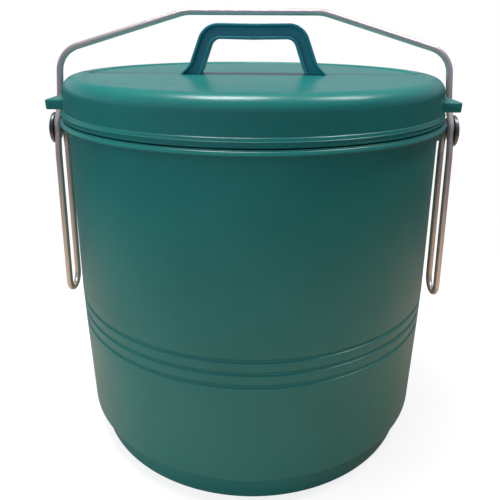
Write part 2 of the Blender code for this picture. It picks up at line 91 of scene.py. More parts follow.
FOOT_INSIDE_ROUND = 0.8 * MM
FOOT_RING = 5.0 * MM
RING_ROUND = 0.5 * MM
BASE_RISE = 2.5 * MM
BASE_ROUND = 1.0 * MM
FLOOR_ROUND = 9.0 * MM
GROOVE_COUNT = 3
GROOVE_HEIGHT = 81.8 * MM
GROOVE_PITCH = 7.9 * MM
GROOVE_WIDTH = 2.6 * MM
GROOVE_FLOOR = 0.9 * MM
GROOVE_SUNK = 0.75 * MM      # a little less than the frame's, with soft lips
GROOVE_LEDGE = 0.5 * MM      # height of the lower flank, which faces up to the light
GROOVE_LIP = 0.35 * MM
BOSS_RADIUS = 7.0 * MM
BOSS_ROUND = 0.8 * MM
CUT_SPARE = 5.0 * MM         # how far a cutter runs past what it cuts

# Lid
LID_TOP = LID_HIGH.z
BEAD_PROUD = 1.3 * MM
LID_RADIUS = LID_HIGH.y - BEAD_PROUD
LID_GAP = 0.8 * MM
LID_WALL = 2.2 * MM
SHOULDER_ROUND = 8.5 * MM
SHOULDER_CENTRE = LID_RADIUS - SHOULDER_ROUND
BEAD_HEIGHT = 5.0 * MM
BEAD_CHAMFER = 0.50 * MM     # the narrow chamfer on top of the bead, across
BEAD_DROP = 0.40 * MM        # and down; the face below it leans back to the ridge
BEAD_RIDGE_TOP = 1.8 * MM    # from the bead's top down to its fine ridge
BEAD_RIDGE = 0.3 * MM        # how far the ridge stands out
BEAD_RIDGE_FACE = 0.3 * MM
BEAD_TUCK = 0.5 * MM
LIP_INSET = 0.3 * MM         # thin lip at the foot of the bead
LIP_HEIGHT = 0.9 * MM
CREASE_INSET = 5.0 * MM
CREASE_WIDTH = 1.0 * MM
CREASE_DEPTH = 0.9 * MM
CREASE_ROUND = 0.5 * MM
PANEL_TOP = LID_TOP - CREASE_DEPTH
PANEL_UNDERSIDE = PANEL_TOP - LID_WALL
PLUG_GAP = 0.8 * MM
PLUG_OUTSIDE = MOUTH_RADIUS - WALL - PLUG_GAP
PLUG_WALL = 2.0 * MM
PLUG_INSIDE = PLUG_OUTSIDE - PLUG_WALL
PLUG_ROOT_ROUND = 1.0 * MM
PLUG_INNER_ROUND = 0.5 * MM
PLUG_OUTER_ROUND = 0.8 * MM
CHANNEL_ROUND = 0.4 * MM
SKIRT_INSIDE = LID_RADIUS - LID_WALL
REST_RIBS = 12
RIB_THICKNESS = 1.6 * MM
EAR_LENGTH = 27.0 * MM
EAR_AHEAD = 13.0 * MM
EAR_HEIGHT = 6.2 * MM
EAR_RISE = 5.7 * MM
EAR_ROOT = 0.8 * MM
EAR_ROUND = 0.9 * MM
EAR_DRAFT = 0.4 * MM

# Lid handle
HANDLE_TOP = HANDLE_HIGH.z
HANDLE_DEPTH = 2 * HANDLE_HIGH.y
HANDLE_BASE = PANEL_TOP + SEAT_GAP
HANDLE_BAR = 10.2 * MM
HANDLE_SAG = 0.5 * MM
BAR_HALF_WIDTH = 32.4 * MM
FOOT_HALF_WIDTH = 44.2 * MM
FOOT_FLARE = 3.8 * MM
FOOT_FLARE_HEIGHT = 6.0 * MM
INNER_FLARE = 0.6 * MM
INNER_FLARE_HEIGHT = 3.0 * MM
LEG_TOP_WIDTH = 6.0 * MM
LEG_WIDTH = 10.3 * MM
HANDLE_OUTER_ROUND = 14.0 * MM
HANDLE_INNER_ROUND = 7.0 * MM
FLANGE = 1.9 * MM
FLANGE_ROUND = 0.7 * MM
WEB_RECESS = 2.6 * MM
WEB_SLOPE = 0.4 * MM
PEG_RADIUS = 3.0 * MM
PEG_HEAD_RADIUS = 5.0 * MM
PEG_HEAD_HEIGHT = 1.4 * MM

# Bail and rivets
WIRE = 4.3 * MM
WIRE_END_EASE = 0.25         # share of the wire's radius that is eased at its ends
GRIP_HEIGHT = BAIL_HIGH.z - WIRE / 2
LOOP_PLANE = BAIL_HIGH.x - WIRE / 2
PIVOT_HEIGHT = (RIVET_LOW.z + RIVET_HIGH.z) / 2
HEAD_RADIUS = (RIVET_HIGH.z - RIVET_LOW.z) / 2
HEAD_START = LOOP_PLANE + WIRE / 2 + SEAT_GAP
HEAD_DOME = 2.2 * MM
HEAD_EDGE = 0.5 * MM
HEAD_RIM = RIVET_HIGH.x - HEAD_START - HEAD_DOME
SHANK_RADIUS = 3.0 * MM
BEARING_RADIUS = 4.9 * MM
BEARING_ROUND = 0.3 * MM
TAIL_RADIUS = 4.2 * MM
TAIL_ROUND = 0.5 * MM
CURL_RADIUS = BEARING_RADIUS + SEAT_GAP + WIRE / 2
GRIP_HALF_WIDTH = 45.0 * MM
GRIP_ROUND = 25.0 * MM
BAIL_SHOULDER_DROP = 25.9 * MM
BAIL_SHOULDER_ROUND = 18.0 * MM
BAIL_DRAW_IN = 3.0 * MM
LEG_SPACING = 18.0 * MM
LOOP_DROP = PIVOT_HEIGHT - BAIL_LOW.z - WIRE / 2
LOOP_ROUND_SPARE = 0.01 * MM
LEG_JOG = 16.0 * MM
JOG_ROUND = 16.0 * MM
REAR_JOG_END = 4.0 * MM
FRONT_JOG_END = 2.0 * MM
BACKBONE_START = 4.0 * MM
BACKBONE_ROUND = 8.0 * MM
BACKBONE_RISE = 17.0 * MM
BACKBONE_DRAW_IN = 0.6 * MM
CURL_END = 85.0              # degrees from the curl's start at the rivet's rear

# Fineness of the shells
ROUND_STEPS = 256
SMALL_STEPS = 96
WIRE_SIDES = 32
LONGEST_FACE = 7.0 * MM
LEAST_STEP = 0.05 * MM       # points of the wire's route closer than this are joined
POLE = 0.001 * MM            # a turned point closer to the axis than this is on it
SMOOTH_ANGLE = 32.0          # edges bent more than this stay sharp
CORNER_STEPS = 6
SHOULDER_STEPS = 18
CHANNEL_STEPS = 8
RIB_STEPS = 4
EAR_STEPS = 4
RAIL_STEPS = 16
FLANGE_STEPS = 4
BEND_STEPS = 12
CURL_STEPS = 16
DOME_STEPS = 16

# Finishes: linear colours, roughness from smoothest to dullest, and each noise's scale,
# detail and, where it isn't the usual one, roughness
NOISE_LOW = 0.3              # most of a noise's values lie between these two
NOISE_HIGH = 0.7
NOISE_ROUGHNESS = 0.5
GREEN_DARK = (0.0070, 0.172, 0.144)
GREEN_PALE = (0.0100, 0.198, 0.168)
GREEN_ROUGHNESS = (0.28, 0.33)
HANDLE_TINT_AND_PAINTED_BLUE_LIGHT = 1.4            # how much bluer the handle is made: a little is its moulding's own tint, the rest painted blue light from the front
PLASTIC_IOR = 1.5
CLOUD_NOISE = (22.0, 4.0)
GLOSS_NOISE = (70.0, 5.0, 0.65)
PEEL_NOISE = (600.0, 2.0)
PEEL_BUMP = (0.05, 0.05 * MM)
SINK_NOISE = (9.0, 1.0)
SINK_BUMP = (0.3, 1.0 * MM)
WIRE_AT_GRIP = (0.80, 0.66, 0.60)
WIRE_AT_LOOPS = (0.95, 0.76, 0.63)
WIRE_FADE = (0.10, 0.21)     # heights between which one colour turns into the other
WIRE_METALLIC = 0.72
WIRE_ROUGHNESS = (0.28, 0.40)
WIRE_LINES = (40.0, 12.0, 1.0)
WIRE_NOISE = (1.0, 3.0)
WIRE_BUMP = (0.15, 0.02 * MM)
# The rivets' green tint is painted reflection of the green plastic round them
RIVET_DARK_GREEN_REFLECTED = (0.15, 0.18, 0.17)
RIVET_PALE_GREEN_REFLECTED = (0.20, 0.23, 0.21)
RIVET_ROUGHNESS = (0.30, 0.44)
RIVET_NOISE = (900.0, 3.0)
RIVET_BUMP = (0.1, 0.02 * MM)

# Stage and room
FLOOR_HALF_SIZE = 6.0
FLOOR_NEAR = (0.50, 0.36, 0.26)
FLOOR_FAR = (0.10, 0.10, 0.10)
FLOOR_NEAR_FADE = (0.30, 0.60)       # distances between which near turns into far
FLOOR_REAR_FADE = (0.0, 0.2)         # depths between which the near colour weakens
FLOOR_REAR = 0.2                     # and what is left of it behind the object
FLOOR_MIRRORED = 0.10                # how much of the white floor mirrored rays see, near by
FLOOR_SHADED = (0.30, 0.30, 0.30, 1.0)
FLOOR_GLOW = 0.80                    # with the shaded part, this comes to white
FLOOR_PLAIN_FADE = (0.22, 0.40)      # distances between which the floor turns plain white
WHITE = (1.0, 1.0, 1.0)

# Two rooms as (left, right) pairs of colours, each list from low to high: LIGHT is what
# lights the object, and MIRROR is what its mirrored and see-through rays see
LIGHT_BANDS = ((0.08, 0.5),)         # where one height fades into the next
LIGHT_FRONT = (((1.80, 2.00, 3.1), (0.10, 0.10, 0.15)), ((0.90, 0.90, 0.70), (0.0, 0.0, 0.0)))
LIGHT_BACK = (((0.0, 0.0, 0.05), (0.08, 0.08, 0.15)), ((1.35, 1.40, 1.60), (0.0, 0.0, 0.0)))
MIRROR_BANDS = ((0.04, 0.12), (0.2, 0.4))
MIRROR_FRONT = (
    ((0.12, 0.10, 0.35), (0.60, 0.53, 0.90)),
    ((0.10, 0.09, 0.25), (0.12, 0.10, 0.25)),
    ((0.10, 0.14, 0.28), (0.22, 0.30, 0.50)),
)
MIRROR_BACK = (
    ((0.02, 0.02, 0.04), (0.05, 0.15, 0.28)),
    ((0.60, 0.60, 0.70), (0.42, 0.28, 0.34)),
    ((0.08, 0.08, 0.12), (0.33, 0.37, 0.53)),
)

SIDE_FADE = (-0.6, 0.6)              # where left turns into right
DEPTH_FADE = (-0.3, 0.5)             # and front into back

# Lamps as (name, place, size, watts)
LAMPS = (
    ("ceiling_left", (-0.18, -0.04, 1.35), (0.34, 0.50), 12.0),
    ("ceiling_right", (0.70, -0.04, 1.30), (0.16, 0.45), 6.0),
)

# Camera, as fitted to the photograph
FOCAL_PIXELS = 552.3
PICTURE = 500.0
SENSOR = 36.0
OPTICAL_CENTRE = (252.1, 172.8)
CAMERA_DISTANCE = 374.2 * MM
CAMERA_HEIGHT = 269.2 * MM
CAMERA_PITCH = 14.95
CAMERA_ROLL = 0.32
CAMERA_TURN = 1.0
CAMERA_SIDESTEP = -0.6 * MM
CLIP_START = 0.01


def arc(centre_radius, centre_height, radius, start, end, steps):
    """Points of a turned profile round a centre, from one angle to another in degrees."""
    points = []
    for step in range(steps + 1):
        angle = radians(start + (end - start) * step / steps)
        points.append((centre_radius + radius * cos(angle), centre_height + radius * sin(angle)))
    return points


def rounded(corners, steps=CORNER_STEPS):
    """A path through corners (point, radius), each corner of some radius turned into an arc."""
    path = [Vector(corners[0][0])]
    for before, (corner, radius), after in zip(corners, corners[1:], corners[2:]):
        corner = Vector(corner)
        if radius == 0.0:
            path.append(corner)
            continue
        back = (Vector(before[0]) - corner).normalized()
        ahead = (Vector(after[0]) - corner).normalized()
        half = acos(max(-1.0, min(1.0, back.dot(ahead)))) / 2
        centre = corner + (back + ahead).normalized() * (radius / sin(half))
        begin = corner + back * (radius / tan(half)) - centre
        finish = corner + ahead * (radius / tan(half)) - centre
        turn = pi - 2 * half
        for step in range(steps + 1):
            share = step / steps
            path.append(
                centre
                + begin * (sin((1 - share) * turn) / sin(turn))
                + finish * (sin(share * turn) / sin(turn))
            )
    path.append(Vector(corners[-1][0]))
    return path


def profile_of(corners):
    """A turned profile from corners (radius, height, rounding), cut where a face would be long."""
    path = rounded([((r, 0.0, z), size) for r, z, size in corners])
    points = [(path[0].x, path[0].z)]
    for start, end in zip(path, path[1:]):
        pieces = max(1, ceil((end - start).length / LONGEST_FACE))
        for piece in range(1, pieces + 1):
            point = start.lerp(end, piece / pieces)
            points.append((point.x, point.z))
    return points


def finished(name, mesh, material):
    """Put a bmesh into the scene as one smooth-shaded object."""
    bmesh.ops.recalc_face_normals(mesh, faces=mesh.faces)
    data = bpy.data.meshes.new(name)
    mesh.to_mesh(data)
    mesh.free()
    data.materials.append(material)
    item = bpy.data.objects.new(name, data)
    bpy.context.scene.collection.objects.link(item)
    smooth(item)
    return item


def smooth(item):
    item.data.shade_smooth()
    item.data.set_sharp_from_angle(angle=radians(SMOOTH_ANGLE))


def turned(name, profile, material, steps=ROUND_STEPS, closed=False):
    """Turn (radius, height) points about Z into one body; a point on the axis is a pole."""
    mesh = bmesh.new()
    rings = []
    for radius, height in profile:
        if radius < POLE:
            rings.append([mesh.verts.new((0.0, 0.0, height))])
            continue
        ring = []
        for step in range(steps):
            angle = 2 * pi * step / steps
            ring.append(mesh.verts.new((radius * cos(angle), radius * sin(angle), height)))
        rings.append(ring)
    pairs = list(zip(rings, rings[1:]))
    if closed:
        pairs.append((rings[-1], rings[0]))
    for lower, upper in pairs:
        for step in range(steps):
            following = (step + 1) % steps
            if len(lower) == 1:
                mesh.faces.new((lower[0], upper[step], upper[following]))
            elif len(upper) == 1:
                mesh.faces.new((lower[step], lower[following], upper[0]))
            else:
                mesh.faces.new((lower[step], lower[following], upper[following], upper[step]))
    return finished(name, mesh, material)


def combine(target, tool, operation):
    """Join the tool to the target or cut it away, and remove the tool."""
    modifier = target.modifiers.new(tool.name, "BOOLEAN")
    modifier.operation = operation
    modifier.object = tool
    modifier.solver = "EXACT"
    graph = bpy.context.evaluated_depsgraph_get()
    mesh = bpy.data.meshes.new_from_object(target.evaluated_get(graph))
    target.modifiers.remove(modifier)
    target.data = mesh
    bpy.data.objects.remove(tool)
    smooth(target)


def cylinder(name, radius, length, material, matrix, rounding=0.0):
    """A cylinder along its own Z, centred, with rounded ends, placed by a matrix."""
    half = length / 2
    corners = [
        (0.0, -half, 0.0),
        (radius, -half, rounding),
        (radius, half, rounding),
        (0.0, half, 0.0),
    ]
    item = turned(name, profile_of(corners), material, SMALL_STEPS)
    item.data.transform(matrix)
    return item


def groove_corners(height, radius):
    """One groove with rounded lips, bottom to top, where the wall has this radius."""
    floor = radius - GROOVE_SUNK
    bottom = height - GROOVE_WIDTH / 2
    return [
        (radius, bottom, GROOVE_LIP),
        (floor, bottom + GROOVE_LEDGE, GROOVE_LIP),
        (floor, bottom + GROOVE_LEDGE + GROOVE_FLOOR, GROOVE_LIP),
        (radius, bottom + GROOVE_WIDTH, GROOVE_LIP),
    ]


def pail_corners():
    """The pail's half section, from under the base round the rim to the floor inside."""
    band_bottom = GROOVE_HEIGHT - GROOVE_WIDTH
    band_top = GROOVE_HEIGHT + (GROOVE_COUNT - 1) * GROOVE_PITCH + GROOVE_WIDTH
    under_rim = PAIL_HEIGHT - RIM_HEIGHT
    ring = FOOT_RADIUS - FOOT_TAPER - FOOT_RING
    inside = MOUTH_RADIUS - WALL
    step_radius = RIM_RADIUS - RIM_STEP
    step_bottom = PAIL_HEIGHT - RIM_STEP_HEIGHT
    floor = BASE_RISE + WALL
    corners = [
        (0.0, BASE_RISE, 0.0),
        (ring - BASE_RISE, BASE_RISE, BASE_ROUND),
        (ring, 0.0, RING_ROUND),
        (FOOT_RADIUS - FOOT_TAPER, 0.0, FOOT_ROUND),
        (FOOT_RADIUS, FOOT_HEIGHT, FOOT_TOP_ROUND),
        (HEEL_RADIUS, FOOT_HEIGHT, HEEL_ROUND),
    ]
    for number in range(GROOVE_COUNT):
        share = (number + 0.5) / GROOVE_COUNT
        radius = LOWER_RADIUS + share * (UPPER_RADIUS - LOWER_RADIUS)
        corners += groove_corners(GROOVE_HEIGHT + number * GROOVE_PITCH, radius)
    corners += [
        (UPPER_RADIUS, band_top, 0.0),
        (MOUTH_RADIUS, under_rim, UNDER_RIM_ROUND),
        (RIM_RADIUS, under_rim, RIM_ROUND),
        (RIM_RADIUS, under_rim + RIM_LAND, SOFT_EDGE),
        (step_radius + RIM_CHAMFER, step_bottom - RIM_DROP, CHAMFER_EDGE),
        (step_radius, step_bottom, CRISP_EDGE),
        (step_radius, PAIL_HEIGHT, LIP_EDGE),
        (inside, PAIL_HEIGHT, RIM_ROUND),
        (UPPER_RADIUS - WALL, band_top, 0.0),
        (LOWER_RADIUS - WALL, band_bottom, 0.0),
        (HEEL_RADIUS - WALL, FOOT_HEIGHT + WALL, HEEL_INSIDE_ROUND),
        (FOOT_RADIUS - WALL, FOOT_HEIGHT + WALL, FOOT_INSIDE_ROUND),
        (FOOT_RADIUS - FOOT_TAPER - WALL, floor, FLOOR_ROUND),
        (0.0, floor, 0.0),
    ]
    return corners


def side_matrix(side, start, end):
    """Turns a centred body's Z to point out on one side, at the rivets, from start to end."""
    centre = Vector((side * (start + end) / 2, 0.0, PIVOT_HEIGHT))
    return Matrix.Translation(centre) @ Matrix.Rotation(side * pi / 2, 4, "Y")


def build_pail(material):
    pail = turned("pail_shell", profile_of(pail_corners()), material)
    for side in (1, -1):
        start = MOUTH_RADIUS - WALL / 2
        place = side_matrix(side, start, BOSS_END)
        boss = cylinder("boss", BOSS_RADIUS, BOSS_END - start, material, place, rounding=BOSS_ROUND)
        combine(pail, boss, "UNION")
        start = MOUTH_RADIUS - WALL - CUT_SPARE
        end = BOSS_END + CUT_SPARE
        radius = SHANK_RADIUS + RUNNING_GAP
        bore = cylinder("bore", radius, end - start, material, side_matrix(side, start, end))
        combine(pail, bore, "DIFFERENCE")
    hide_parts("pail")
    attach(pail, "pail")


def channel_angle():
    """Where the inside of the shoulder starts, in degrees, at the roof of the channel."""
    across = PLUG_OUTSIDE + PLUG_GAP - SHOULDER_CENTRE
    return degrees(acos(across / (SHOULDER_ROUND - LID_WALL)))


def lid_profile():
    """The lid's half section, from under the panel round the plug and skirt to the top."""
    skirt_bottom = PAIL_HEIGHT + LID_GAP
    bead_radius = LID_RADIUS + BEAD_PROUD
    lip_radius = bead_radius - LIP_INSET
    lip_top = skirt_bottom + LIP_HEIGHT
    bead_top = skirt_bottom + BEAD_HEIGHT
    ridge_top = bead_top - BEAD_RIDGE_TOP
    ridge_bottom = ridge_top - BEAD_RIDGE - BEAD_RIDGE_FACE
    shoulder_height = LID_TOP - SHOULDER_ROUND
    inside = SHOULDER_ROUND - LID_WALL
    inner = arc(SHOULDER_CENTRE, shoulder_height, inside, channel_angle(), 0, CHANNEL_STEPS)
    outer = arc(SHOULDER_CENTRE, shoulder_height, SHOULDER_ROUND, 0, 90, SHOULDER_STEPS)
    crease = SHOULDER_CENTRE - CREASE_INSET
    corners = [(0.0, PANEL_UNDERSIDE, 0.0), (PLUG_INSIDE, PANEL_UNDERSIDE, PLUG_ROOT_ROUND)]
    corners += [
        (PLUG_INSIDE, LID_LOW.z, PLUG_INNER_ROUND),
        (PLUG_OUTSIDE, LID_LOW.z, PLUG_OUTER_ROUND),
        (PLUG_OUTSIDE, inner[0][1], CHANNEL_ROUND),
    ]
    corners += [(r, z, 0.0) for r, z in inner]
    corners += [
        (SKIRT_INSIDE, skirt_bottom, CHANNEL_ROUND),
        (lip_radius, skirt_bottom, LIP_EDGE),
        (lip_radius, lip_top, LIP_EDGE),
        (bead_radius - BEAD_TUCK, lip_top, CRISP_EDGE),
        (bead_radius - BEAD_TUCK, ridge_bottom, SOFT_EDGE),
        (bead_radius, ridge_bottom, CRISP_EDGE),
        (bead_radius, ridge_top - BEAD_RIDGE, CRISP_EDGE),
        (bead_radius - BEAD_RIDGE, ridge_top, CRISP_EDGE),
        (LID_RADIUS + BEAD_CHAMFER, bead_top - BEAD_DROP, CHAMFER_EDGE),
        (LID_RADIUS, bead_top, CRISP_EDGE),
    ]
    corners += [(r, z, 0.0) for r, z in outer]
    corners += [
        (crease, LID_TOP, CREASE_ROUND),
        (crease - CREASE_WIDTH, PANEL_TOP, CREASE_ROUND),
        (0.0, PANEL_TOP, 0.0),
    ]
    return profile_of(corners)


def ear(side, material):
    """One ear: a slightly drafted block on the skirt, rounded on its outer edges."""
    reach = side * LID_HIGH.x
    back = -EAR_AHEAD
    front = back - EAR_LENGTH
    sunk = LID_RADIUS - EAR_ROOT
    bottom = PAIL_HEIGHT + EAR_RISE
    top = bottom + EAR_HEIGHT
    mesh = bmesh.new()
    rows = []
    for height, draft in ((bottom, side * EAR_DRAFT), (top, 0.0)):
        outline = [
            (reach - draft, front),
            (reach - draft, back),
            (side * sqrt(sunk**2 - back**2), back),
            (side * sqrt(sunk**2 - front**2), front),
        ]
        rows.append([mesh.verts.new((x, y, height)) for x, y in outline])
    low, high = rows
    mesh.faces.new(low)
    mesh.faces.new(high)
    for index in range(4):
        following = (index + 1) % 4
        mesh.faces.new((low[index], low[following], high[following], high[index]))
    edges = [edge for edge in mesh.edges if not all(abs(v.co.x) < sunk for v in edge.verts)]
    bmesh.ops.bevel(
        mesh, geom=edges, offset=EAR_ROUND, segments=EAR_STEPS, profile=0.5, affect="EDGES"
    )
    return finished("ear", mesh, material)


def ribs(material):
    """The ribs between plug and skirt whose lower ends rest on the rim."""
    inner = (PLUG_OUTSIDE + PLUG_INSIDE) / 2
    bottom = PAIL_HEIGHT + SEAT_GAP
    middle = SHOULDER_ROUND - LID_WALL / 2
    roof = arc(SHOULDER_CENTRE, LID_TOP - SHOULDER_ROUND, middle, 0, channel_angle(), RIB_STEPS)
    outline = [
        (inner, bottom),
        (SKIRT_INSIDE + LID_WALL / 2, bottom),
        *roof,
        (inner, roof[-1][1]),
    ]
    mesh = bmesh.new()
    for number in range(REST_RIBS):
        angle = 2 * pi * (number + 0.5) / REST_RIBS
        along = Vector((cos(angle), sin(angle), 0.0))
        across = Vector((-sin(angle), cos(angle), 0.0)) * RIB_THICKNESS
        edge = [along * radius + Vector((0.0, 0.0, height)) for radius, height in outline]
        face = mesh.faces.new([mesh.verts.new(point - across / 2) for point in edge])
        raised = bmesh.ops.extrude_face_region(mesh, geom=[face])
        moved = [item for item in raised["geom"] if isinstance(item, bmesh.types.BMVert)]
        bmesh.ops.translate(mesh, vec=across, verts=moved)
    return finished("ribs", mesh, material)


def peg_place():
    """Distance of each handle peg from the middle of the lid."""
    return FOOT_HALF_WIDTH + FOOT_FLARE - FOOT_FLARE_HEIGHT / 2 - LEG_WIDTH / 2


def build_lid(material):
    lid = turned("lid_shell", lid_profile(), material)
    combine(lid, ribs(material), "UNION")
    for side in (1, -1):
        combine(lid, ear(side, material), "UNION")
        place = Matrix.Translation((side * peg_place(), 0.0, PANEL_TOP - LID_WALL / 2))
        length = LID_WALL + 2 * CUT_SPARE
        hole = cylinder("peg_hole", PEG_RADIUS + SEAT_GAP, length, material, place)
        combine(lid, hole, "DIFFERENCE")
    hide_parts("lid")
    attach(lid, "lid")


def handle_rail(bar_half, foot_half, flare, flare_height, top, radius):
    """One edge of the handle from its left foot over the bar to its right foot."""
    slope = (foot_half - bar_half) / (top - HANDLE_BASE)
    knee = foot_half - slope * flare_height
    half = [
        ((foot_half + flare, 0.0, HANDLE_BASE), 0.0),
        ((knee, 0.0, HANDLE_BASE + flare_height), 2 * flare_height),
        ((bar_half, 0.0, top), radius),
    ]
    left = [((-point[0], point[1], point[2]), size) for point, size in half]
    middle = [((0.0, 0.0, top - HANDLE_SAG), bar_half)]
    return rounded(left + middle + half[::-1], RAIL_STEPS)


def handle_section(outer, inner):
    """The I-shaped section between two facing points of the handle's edges."""
    across = inner - outer
    width = across.length
    across.normalize()
    deep = HANDLE_DEPTH / 2
    web = deep - WEB_RECESS
    half = [
        (0.0, 0.0, 0.0),
        (0.0, deep, FLANGE_ROUND),
        (FLANGE, deep, FLANGE_ROUND),
        (FLANGE + WEB_SLOPE, web, FLANGE_ROUND / 2),
        (width - FLANGE - WEB_SLOPE, web, FLANGE_ROUND / 2),
        (width - FLANGE, deep, FLANGE_ROUND),
        (width, deep, FLANGE_ROUND),
        (width, 0.0, 0.0),
    ]
    near = rounded([((along, depth, 0.0), size) for along, depth, size in half], FLANGE_STEPS)
    whole = near + [Vector((point.x, -point.y, 0.0)) for point in reversed(near[1:-1])]
    return [outer + across * point.x + Vector((0.0, point.y, 0.0)) for point in whole]


def lofted(name, sections, material):
    """Skin equal closed sections in order, and cap both ends."""
    mesh = bmesh.new()
    rings = [[mesh.verts.new(point) for point in section] for section in sections]
    for ring, following in zip(rings, rings[1:]):
        for corners in zip(ring, ring[1:] + ring[:1], following[1:] + following[:1], following):
            mesh.faces.new(corners)
    mesh.faces.new(rings[0])
    mesh.faces.new(rings[-1])
    return finished(name, mesh, material)


def peg(side, material):
    """A handle peg with the head that is flattened under the lid."""
    head_top = PANEL_UNDERSIDE - SEAT_GAP
    corners = [
        (0.0, head_top - PEG_HEAD_HEIGHT, 0.0),
        (PEG_HEAD_RADIUS, head_top - PEG_HEAD_HEIGHT, PEG_HEAD_HEIGHT / 2),
        (PEG_HEAD_RADIUS, head_top, SOFT_EDGE),
        (PEG_RADIUS, head_top, 0.0),
        (PEG_RADIUS, HANDLE_BASE + PEG_RADIUS, 0.0),
        (0.0, HANDLE_BASE + PEG_RADIUS, 0.0),
    ]
    item = turned("peg", profile_of(corners), material, SMALL_STEPS)
    item.data.transform(Matrix.Translation((side * peg_place(), 0.0, 0.0)))
    return item


def build_handle(material):
    outer = handle_rail(
        BAR_HALF_WIDTH,
        FOOT_HALF_WIDTH,
        FOOT_FLARE,
        FOOT_FLARE_HEIGHT,
        HANDLE_TOP,
        HANDLE_OUTER_ROUND,
    )
    inner = handle_rail(
        BAR_HALF_WIDTH - LEG_TOP_WIDTH,
        FOOT_HALF_WIDTH - LEG_WIDTH,
        INNER_FLARE,
        INNER_FLARE_HEIGHT,
        HANDLE_TOP - HANDLE_BAR,
        HANDLE_INNER_ROUND,
    )
    sections = [handle_section(above, below) for above, below in zip(outer, inner)]
    handle = lofted("lid_handle_arch", sections, material)
    for side in (1, -1):
        combine(handle, peg(side, material), "UNION")
    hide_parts("lid_handle")
    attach(handle, "lid")


def bail_half():
    """Route of the wire from the curl at the right rivet to the middle of the grip."""
    leg = LEG_SPACING / 2
    under_round = leg - LOOP_ROUND_SPARE
    backbone = LOOP_PLANE - BACKBONE_DRAW_IN
    shoulder = LOOP_PLANE - BAIL_DRAW_IN
    grip = GRIP_HEIGHT - PIVOT_HEIGHT
    route = []
    for step in range(CURL_STEPS):
        angle = radians(CURL_END * (1 - step / CURL_STEPS))
        route.append(Vector((LOOP_PLANE, CURL_RADIUS * cos(angle), CURL_RADIUS * sin(angle))))
    corners = [
        ((LOOP_PLANE, CURL_RADIUS, 0.0), 0.0),
        ((LOOP_PLANE, CURL_RADIUS, -REAR_JOG_END), JOG_ROUND),
        ((LOOP_PLANE, leg, -LEG_JOG), JOG_ROUND),
        ((LOOP_PLANE, leg, -LOOP_DROP), under_round),
        ((LOOP_PLANE, -leg, -LOOP_DROP), under_round),
        ((LOOP_PLANE, -leg, -LEG_JOG), JOG_ROUND),
        ((LOOP_PLANE, -CURL_RADIUS, -FRONT_JOG_END), BACKBONE_ROUND),
        ((LOOP_PLANE, -CURL_RADIUS, BACKBONE_START), BACKBONE_ROUND),
        ((backbone, 0.0, BACKBONE_RISE), BACKBONE_ROUND),
        ((shoulder, 0.0, grip - BAIL_SHOULDER_DROP), BAIL_SHOULDER_ROUND),
        ((GRIP_HALF_WIDTH, 0.0, grip), GRIP_ROUND),
        ((0.0, 0.0, grip), 0.0),
    ]
    route += rounded(corners, BEND_STEPS)
    return [point + Vector((0.0, 0.0, PIVOT_HEIGHT)) for point in route]


def tube(name, path, radius, material):
    """A round tube along a path, with eased ends and lengthwise UVs in metres."""
    mesh = bmesh.new()
    layer = mesh.loops.layers.uv.new("length")
    start = (path[1] - path[0]).normalized()
    end = (path[-1] - path[-2]).normalized()
    ease = radius * WIRE_END_EASE
    path = [path[0], path[0] + start * ease, *path[1:-1], path[-1] - end * ease, path[-1]]
    side = start.orthogonal().normalized()
    rings = []
    lengths = [0.0]
    for before, after in zip(path, path[1:]):
        lengths.append(lengths[-1] + (after - before).length)
    for index, point in enumerate(path):
        along = (path[min(index + 1, len(path) - 1)] - path[max(index - 1, 0)]).normalized()
        side = (side - along * side.dot(along)).normalized()
        up = along.cross(side)
        size = radius - ease if index in (0, len(path) - 1) else radius
        ring = []
        for step in range(WIRE_SIDES):
            angle = 2 * pi * step / WIRE_SIDES
            offset = side * (size * cos(angle)) + up * (size * sin(angle))
            ring.append(mesh.verts.new(point + offset))
        rings.append(ring)
    for index, (ring, following) in enumerate(zip(rings, rings[1:])):
        for step in range(WIRE_SIDES):
            other = (step + 1) % WIRE_SIDES
            face = mesh.faces.new((ring[step], ring[other], following[other], following[step]))
            shares = ((step, index), (step + 1, index), (step + 1, index + 1), (step, index + 1))
            for loop, (turn, place) in zip(face.loops, shares):
                loop[layer].uv = (turn / WIRE_SIDES, lengths[place])
    mesh.faces.new(rings[0])
    mesh.faces.new(rings[-1])
    return finished(name, mesh, material)


def build_bail(material):
    half = bail_half()
    path = half + [Vector((-point.x, point.y, point.z)) for point in reversed(half[:-1])]
    spaced = [path[0]]
    for point in path[1:]:
        if (point - spaced[-1]).length > LEAST_STEP:
            spaced.append(point)
    bail = tube("bail_wire", spaced, WIRE / 2, material)
    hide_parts("bail")
    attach(bail, "bail")


